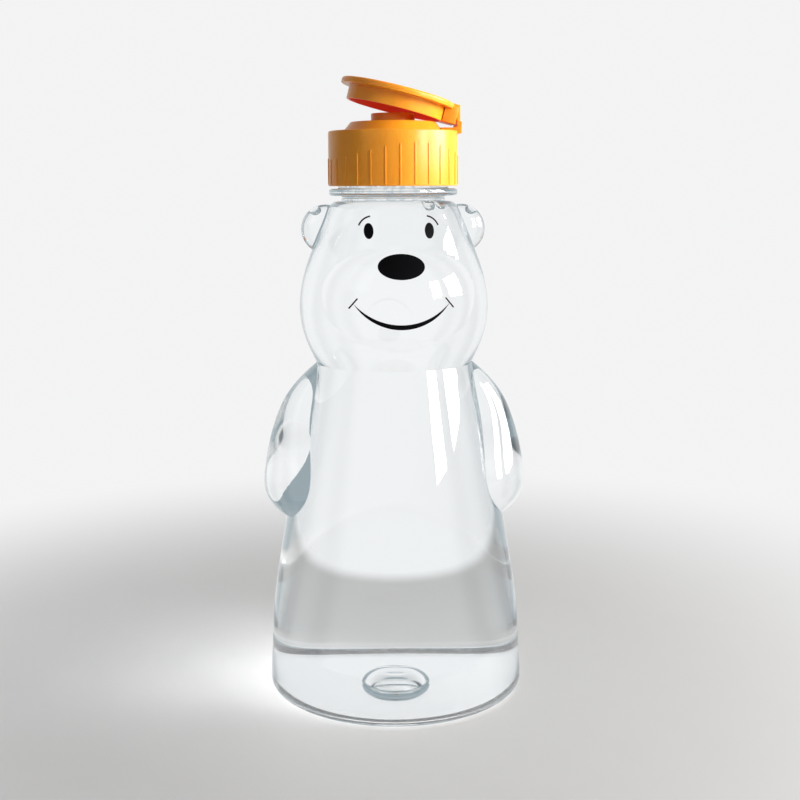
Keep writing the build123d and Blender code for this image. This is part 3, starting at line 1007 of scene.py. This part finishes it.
def node_group(name, sockets):
    """Shader node group with its named inputs and outputs, or the one already made."""
    found = bpy.data.node_groups.get(name)
    if found:
        return found, None, None
    group = bpy.data.node_groups.new(name, "ShaderNodeTree")
    for socket, direction, kind, default in sockets:
        made = group.interface.new_socket(socket, in_out=direction, socket_type="NodeSocket" + kind)
        if default is not None:
            made.default_value = default
    return group, group.nodes.new("NodeGroupInput").outputs, group.nodes.new("NodeGroupOutput").inputs


def moulded_skin():
    """Group for moulded plastic: slight mottling, uneven gloss and a fine orange-peel height."""
    group, start, end = node_group("Moulded skin", [
        ("Colour", "INPUT", "Color", (0.8, 0.8, 0.8, 1.0)),
        ("Deep colour", "INPUT", "Color", (0.6, 0.6, 0.6, 1.0)),
        ("Roughness", "INPUT", "Float", 0.3),
        ("Mottle scale", "INPUT", "Float", 90.0),
        ("Peel scale", "INPUT", "Float", 2500.0),
        ("Colour", "OUTPUT", "Color", None),
        ("Roughness", "OUTPUT", "Float", None),
        ("Height", "OUTPUT", "Float", None),
    ])
    if start is None:
        return group
    where = add(group, "TexCoord").outputs["Object"]
    mottle, peel = [
        add(group, "TexNoise", {"Vector": where, "Scale": start[scale], "Detail": detail}).outputs["Fac"]
        for scale, detail in (("Mottle scale", 3.0), ("Peel scale", 2.0))
    ]
    spread = add(group, "MapRange", {"Value": mottle, "From Min": 0.35, "From Max": 0.65}).outputs["Result"]
    join(group, colour_mix(group, spread, start["Colour"], start["Deep colour"]), end["Colour"])
    join(group, maths(group, "MULTIPLY_ADD", mottle, gloss_swing, start["Roughness"]), end["Roughness"])
    join(group, peel, end["Height"])
    return group


def blown_waves():
    """Group for a blown wall: long upright waves and faint fine grain, as a height."""
    group, start, end = node_group("Blown waves", [
        ("Wave scale", "INPUT", "Float", 60.0),
        ("Grain share", "INPUT", "Float", 0.05),
        ("Height", "OUTPUT", "Float", None),
    ])
    if start is None:
        return group
    where = add(group, "TexCoord").outputs["Object"]
    stretch = add(group, "Mapping", {"Vector": where, "Scale": (1.0, 1.0, 0.3)}).outputs["Vector"]
    waves = add(group, "TexNoise", {"Vector": stretch, "Scale": start["Wave scale"], "Detail": 1.0})
    grain = add(group, "TexNoise", {"Vector": stretch, "Scale": 900.0})
    height = maths(group, "MULTIPLY_ADD", grain.outputs["Fac"], start["Grain share"], waves.outputs["Fac"])
    join(group, height, end["Height"])
    return group


def side_tone():
    """Group for the room's tone in a level direction: white in front and behind, grey to the sides."""
    group, start, end = node_group("Side tone", [
        ("Direction", "INPUT", "Vector", None),
        ("Colour", "OUTPUT", "Color", None),
    ])
    if start is None:
        return group
    parts = add(group, "SeparateXYZ", {"Vector": start["Direction"]}).outputs
    level = add(group, "CombineXYZ", {"X": parts["X"], "Y": parts["Y"]}).outputs["Vector"]
    run = add(group, "VectorMath", {0: level}, operation="LENGTH").outputs["Value"]
    share = maths(group, "DIVIDE", maths(group, "ABSOLUTE", parts["X"]), run)
    bands = add(group, "ValToRGB", {"Fac": share})
    ramp = bands.color_ramp
    for element, (position, tone) in zip(ramp.elements, (room_tones[0], room_tones[-1])):
        element.position, element.color = position, grey(tone)
    for position, tone in room_tones[1:-1]:
        ramp.elements.new(position).color = grey(tone)
    join(group, bands.outputs["Color"], end["Colour"])
    return group


def grey(tone):
    """Slightly cool grey, cooler the darker it is."""
    cool = 1 - tone
    return (tone * (1 - red_loss * cool), tone * (1 - green_loss * cool), tone, 1.0)


def new_material(name, values=()):
    """Material, its node tree, and its Principled shader with the values on its inputs."""
    material = bpy.data.materials.new(name)
    material.use_nodes = True
    tree = material.node_tree
    shader = tree.nodes["Principled BSDF"]
    for socket, value in dict(values).items():
        shader.inputs[socket].default_value = value
    return material, tree, shader


def relief(tree, shader, height, strength, distance):
    """Gives a shader a fine relief."""
    bump = add(tree, "Bump", {"Height": height, "Strength": strength, "Distance": distance})
    join(tree, bump.outputs["Normal"], shader.inputs["Normal"])


def moulded(name, base, deep_shares, roughness, peel, values=(), scales=(90.0, 2500.0)):
    """Moulded plastic with the moulded skin. The values are for its shader's other inputs."""
    material, tree, shader = new_material(name, values)
    deep = [channel * share for channel, share in zip(base, deep_shares)]
    mottle_scale, peel_scale = scales
    skin = add(tree, "Group", {
        "Colour": (*base, 1.0), "Deep colour": (*deep, 1.0), "Roughness": roughness,
        "Mottle scale": mottle_scale, "Peel scale": peel_scale,
    }, node_tree=moulded_skin()).outputs
    join(tree, skin["Colour"], shader.inputs["Base Color"])
    join(tree, skin["Roughness"], shader.inputs["Roughness"])
    relief(tree, shader, skin["Height"], peel, peel_distance)
    return material


def amber_plastic(name, base, glow=0.0):
    """Golden orange moulded plastic that lets a little light through, and can take a painted glow standing
    for light shining through it from behind.
    """
    return moulded(name, base, deep_shares=(0.96, 0.86, 0.8), roughness=0.24, peel=0.12, values={
        "Emission Color": (*base, 1.0),
        "Emission Strength": glow,
        "IOR": 1.49,
        "Specular IOR Level": 0.32,
        "Subsurface Weight": 0.35,
        "Subsurface Radius": (1.0, 0.45, 0.08),
        "Subsurface Scale": 0.0022,
    })


def clear_shader(name, tint, index, strength, distance):
    """Material that starts as a clear shader with faint waves, with its tree and shader."""
    material, tree, shader = new_material(name, {
        "Base Color": (*tint, 1.0), "Roughness": 0.0, "IOR": index, "Transmission Weight": 1.0})
    waves = add(tree, "Group", node_tree=blown_waves())
    relief(tree, shader, waves.outputs["Height"], strength, distance)
    return material, tree, shader


def pass_light(tree, shader, tint):
    """Lets lamp light through a clear material, and gives light trapped deep inside a soft grey."""
    path = add(tree, "LightPath").outputs
    lost = greatest(tree, [maths(tree, "GREATER_THAN", path[depth], limit)
                           for depth, limit in trapped_depths.items()])
    grey_light = add(tree, "Emission", {"Color": (*bpy.context.scene.honeybear_finish.trapped, 1.0)})
    caught = shader_mix(tree, lost, shader, grey_light)
    clear = add(tree, "BsdfTransparent", {"Color": (*tint, 1.0)})
    show(tree, shader_mix(tree, path["Is Shadow Ray"], caught, clear))


def clear_plastic(name, index):
    """Clear blown plastic with faint waves in its wall."""
    tint = bpy.context.scene.honeybear_finish.clear_tint
    material, tree, shader = clear_shader(name, tint, index, strength=0.12, distance=0.0006)
    pass_light(tree, shader, lamp_light_tint)
    return material


def still_liquid(name):
    """Clear shader of the liquid, with its material and tree."""
    return clear_shader(name, white, surface_index, strength=0.02, distance=0.0002)


def clear_liquid(name):
    """Clear colourless liquid."""
    material, tree, shader = still_liquid(name)
    pass_light(tree, shader, white)
    return material


def liquid_side(name):
    """Side of the liquid. The wet wall already bends the light for it, so it lets all light through."""
    material, tree, shader = still_liquid(name)
    show(tree, shader_mix(tree, 1.0, shader, add(tree, "BsdfTransparent")))
    return material


class HONEYBEAR_OT_finishes(bpy.types.Operator):
    """Finishes of the printed face, the liner, the valve and its retainer"""

    bl_idname = "honeybear.finishes"
    bl_label = "Finishes"

    def execute(self, context):
        finish = context.scene.honeybear_finish
        ink = moulded(
            "Black ink", finish.ink, deep_shares=(1.6, 1.6, 1.6), roughness=0.3, peel=0.05,
            values={"Specular IOR Level": 0.03})
        dressed = {node: ink for node in frame["nodes"] if node.startswith("printed_")}
        dressed["closure_liner"] = moulded(
            "Foam liner", finish.foam, deep_shares=(0.85, 0.85, 0.85), roughness=0.75, peel=0.5,
            scales=(400.0, 3500.0))
        dressed["silicone_valve"] = moulded(
            "Soft silicone", finish.silicone, deep_shares=(0.9, 0.9, 0.9), roughness=0.4, peel=0.1,
            values={"Transmission Weight": 0.5})
        dressed["valve_retainer"] = amber_plastic("Amber retainer plastic", finish.amber)
        for node, material in dressed.items():
            mesh = frame["nodes"][node].data
            mesh.materials.clear()
            mesh.materials.append(material)
        return {"FINISHED"}


# Stage

# Panes of the window: azimuth in degrees, and width by the narrow one's
window_panes = {"Window narrow pane": (51, 1), "Window wide pane": (84, 2)}
window_elevation = 18
window_tint = (1.0, 0.985, 0.95)
fill_azimuth = -60
fill_elevation = 35
fill_tint = (0.95, 0.975, 1.0)
sensor_width = 36.0
floor_segments = 96
floor_speckle_share = 0.97


def floor_material(finish, studio):
    """Pale floor that takes the shadow near the bottle and fades into the background further out."""
    material, tree, shader = new_material("Pale floor", {"Roughness": 0.6})
    where = add(tree, "TexCoord").outputs["Object"]
    speckle = add(tree, "TexNoise", {"Vector": where, "Scale": 60.0}).outputs["Fac"]
    darker = [channel * floor_speckle_share for channel in finish.floor]
    tone = colour_mix(tree, speckle, (*finish.floor, 1.0), (*darker, 1.0))
    join(tree, tone, shader.inputs["Base Color"])
    path = add(tree, "LightPath").outputs
    away = add(tree, "VectorMath", {0: where}, operation="LENGTH").outputs["Value"]
    limits = ((studio.clear_pool_radius, studio.pool_radius), (studio.clear_pool_fade, studio.pool_fade))
    near, far = [
        add(tree, "Mix", {"Factor": path["Is Camera Ray"], "A": cleared, "B": direct}).outputs["Result"]
        for cleared, direct in limits
    ]
    fade = add(tree, "MapRange", {"Value": away, "From Min": near, "From Max": far},
               interpolation_type="SMOOTHSTEP").outputs["Result"]
    amount = maths(tree, "MULTIPLY", fade, greatest(tree, [path[ray] for ray in seen_rays]))
    sides = add(tree, "Group", {"Direction": where}, node_tree=side_tone()).outputs["Colour"]
    plain = colour_mix(tree, path["Is Camera Ray"], sides, (*finish.backdrop, 1.0))
    show(tree, shader_mix(tree, amount, shader, add(tree, "Emission", {"Color": plain})))
    return material


def room(finish, studio):
    """Background: plain for the camera, with soft grey stretches at each side for clear surfaces."""
    world = bpy.data.worlds.new("Studio room")
    world.use_nodes = True
    bpy.context.scene.world = world
    tree = world.node_tree
    tree.nodes.clear()
    where = add(tree, "TexCoord").outputs["Generated"]
    height = add(tree, "SeparateXYZ", {"Vector": where}).outputs["Z"]
    bands = add(tree, "Group", {"Direction": where}, node_tree=side_tone()).outputs["Colour"]
    ceiling = add(tree, "MapRange", {
        "Value": height, "From Min": 0.35, "From Max": 0.95, "To Min": 1.0, "To Max": 0.75}).outputs["Result"]
    shade = add(tree, "VectorMath", {0: bands, "Scale": ceiling}, operation="SCALE").outputs["Vector"]
    path = add(tree, "LightPath").outputs
    level = (studio.room_level, studio.room_level, studio.room_level * blue_gain, 1.0)
    light = colour_mix(tree, path["Is Diffuse Ray"], shade, level)
    seen = colour_mix(tree, path["Is Camera Ray"], light, (*finish.backdrop, 1.0))
    background = add(tree, "Background", {"Color": seen})
    add(tree, "OutputWorld", {"Surface": background.outputs["Background"]})


def lamp(name, distance, azimuth, elevation, width, height, level, tint):
    """Area lamp that looks at the bottle's middle and isn't seen through it. Azimuth 90 is the +X side."""
    middle = (cad_box[0] + cad_box[1]) / 2
    turn, rise = math.radians(azimuth), math.radians(elevation)
    back = Vector((math.sin(turn) * math.cos(rise), -math.cos(turn) * math.cos(rise), math.sin(rise)))
    data = bpy.data.lights.new(name, "AREA")
    data.shape = "RECTANGLE"
    data.size, data.size_y = width, height
    data.energy = level * math.pi ** 2 * distance ** 2
    data.color = tint
    made = bpy.data.objects.new(name, data)
    made.location = middle + back * distance
    made.rotation_mode = "QUATERNION"
    made.rotation_quaternion = back.to_track_quat("Z", "Y")
    made.visible_transmission = False
    bpy.context.scene.collection.objects.link(made)


def camera(studio):
    """Camera at the photograph's viewing angle."""
    data = bpy.data.cameras.new("Camera")
    data.sensor_width = sensor_width
    data.lens = data.sensor_width * studio.focal_share
    made = bpy.data.objects.new("Camera", data)
    bpy.context.scene.collection.objects.link(made)
    turn = Matrix.Rotation(studio.azimuth + studio.aim, 4, "Z")
    tilt = Matrix.Rotation(math.pi / 2 - studio.pitch, 4, "X")
    roll = Matrix.Rotation(studio.roll, 4, "Z")
    spot = Matrix.Rotation(studio.azimuth, 4, "Z") @ Vector((0, -studio.distance, studio.height))
    made.matrix_world = Matrix.Translation(spot) @ turn @ tilt @ roll
    bpy.context.scene.camera = made


class HONEYBEAR_OT_stage(bpy.types.Operator):
    """Pale floor, plain background, window light, fill and camera"""

    bl_idname = "honeybear.stage"
    bl_label = "Stage"

    def execute(self, context):
        finish = context.scene.honeybear_finish
        studio = context.scene.honeybear_studio
        bm = bmesh.new()
        bmesh.ops.create_circle(bm, cap_ends=True, segments=floor_segments, radius=studio.floor_radius)
        floor = make_object("pale_floor", bm, [floor_material(finish, studio)])
        room(finish, studio)
        panes = sum(share for azimuth, share in window_panes.values())
        for name, (azimuth, share) in window_panes.items():
            lamp(name, studio.lamp_distance, azimuth, window_elevation, studio.key_pane * share,
                 studio.key_height, studio.key_level * share / panes, window_tint)
        lamp("Fill", studio.lamp_distance, fill_azimuth, fill_elevation, studio.fill_size,
             studio.fill_size, studio.fill_level, fill_tint)
        camera(studio)
        context.scene.view_settings.view_transform = "Standard"
        return {"FINISHED"}


class HONEYBEAR_PT_panel(bpy.types.Panel):
    """Pieces of the honey bear bottle"""

    bl_idname = "HONEYBEAR_PT_panel"
    bl_label = "Honey Bear Bottle"
    bl_space_type = "VIEW_3D"
    bl_region_type = "UI"
    bl_category = "Honey Bear"

    def draw(self, context):
        for operator in operators:
            self.layout.operator(operator.bl_idname)


operators = (
    HONEYBEAR_OT_bottle,
    HONEYBEAR_OT_contents,
    HONEYBEAR_OT_cap,
    HONEYBEAR_OT_lid,
    HONEYBEAR_OT_finishes,
    HONEYBEAR_OT_stage,
)
property_groups = {
    "honeybear_bottle": HONEYBEAR_PG_bottle,
    "honeybear_contents": HONEYBEAR_PG_contents,
    "honeybear_cap": HONEYBEAR_PG_cap,
    "honeybear_finish": HONEYBEAR_PG_finish,
    "honeybear_studio": HONEYBEAR_PG_studio,
}


def register():
    """Adds the property groups, the operators and the panel."""
    for name, group in property_groups.items():
        bpy.utils.register_class(group)
        setattr(bpy.types.Scene, name, PointerProperty(type=group))
    for operator in operators:
        bpy.utils.register_class(operator)
    bpy.utils.register_class(HONEYBEAR_PT_panel)


def unregister():
    """Removes what register added."""
    bpy.utils.unregister_class(HONEYBEAR_PT_panel)
    for operator in reversed(operators):
        bpy.utils.unregister_class(operator)
    for name, group in reversed(property_groups.items()):
        delattr(bpy.types.Scene, name)
        bpy.utils.unregister_class(group)


def main():
    """Makes every piece and the stage."""
    register()
    bpy.ops.honeybear.bottle()
    bpy.ops.honeybear.contents()
    bpy.ops.honeybear.cap()
    bpy.ops.honeybear.lid()
    bpy.ops.honeybear.finishes()
    bpy.ops.honeybear.stage()


if __name__ == "__main__":
    main()
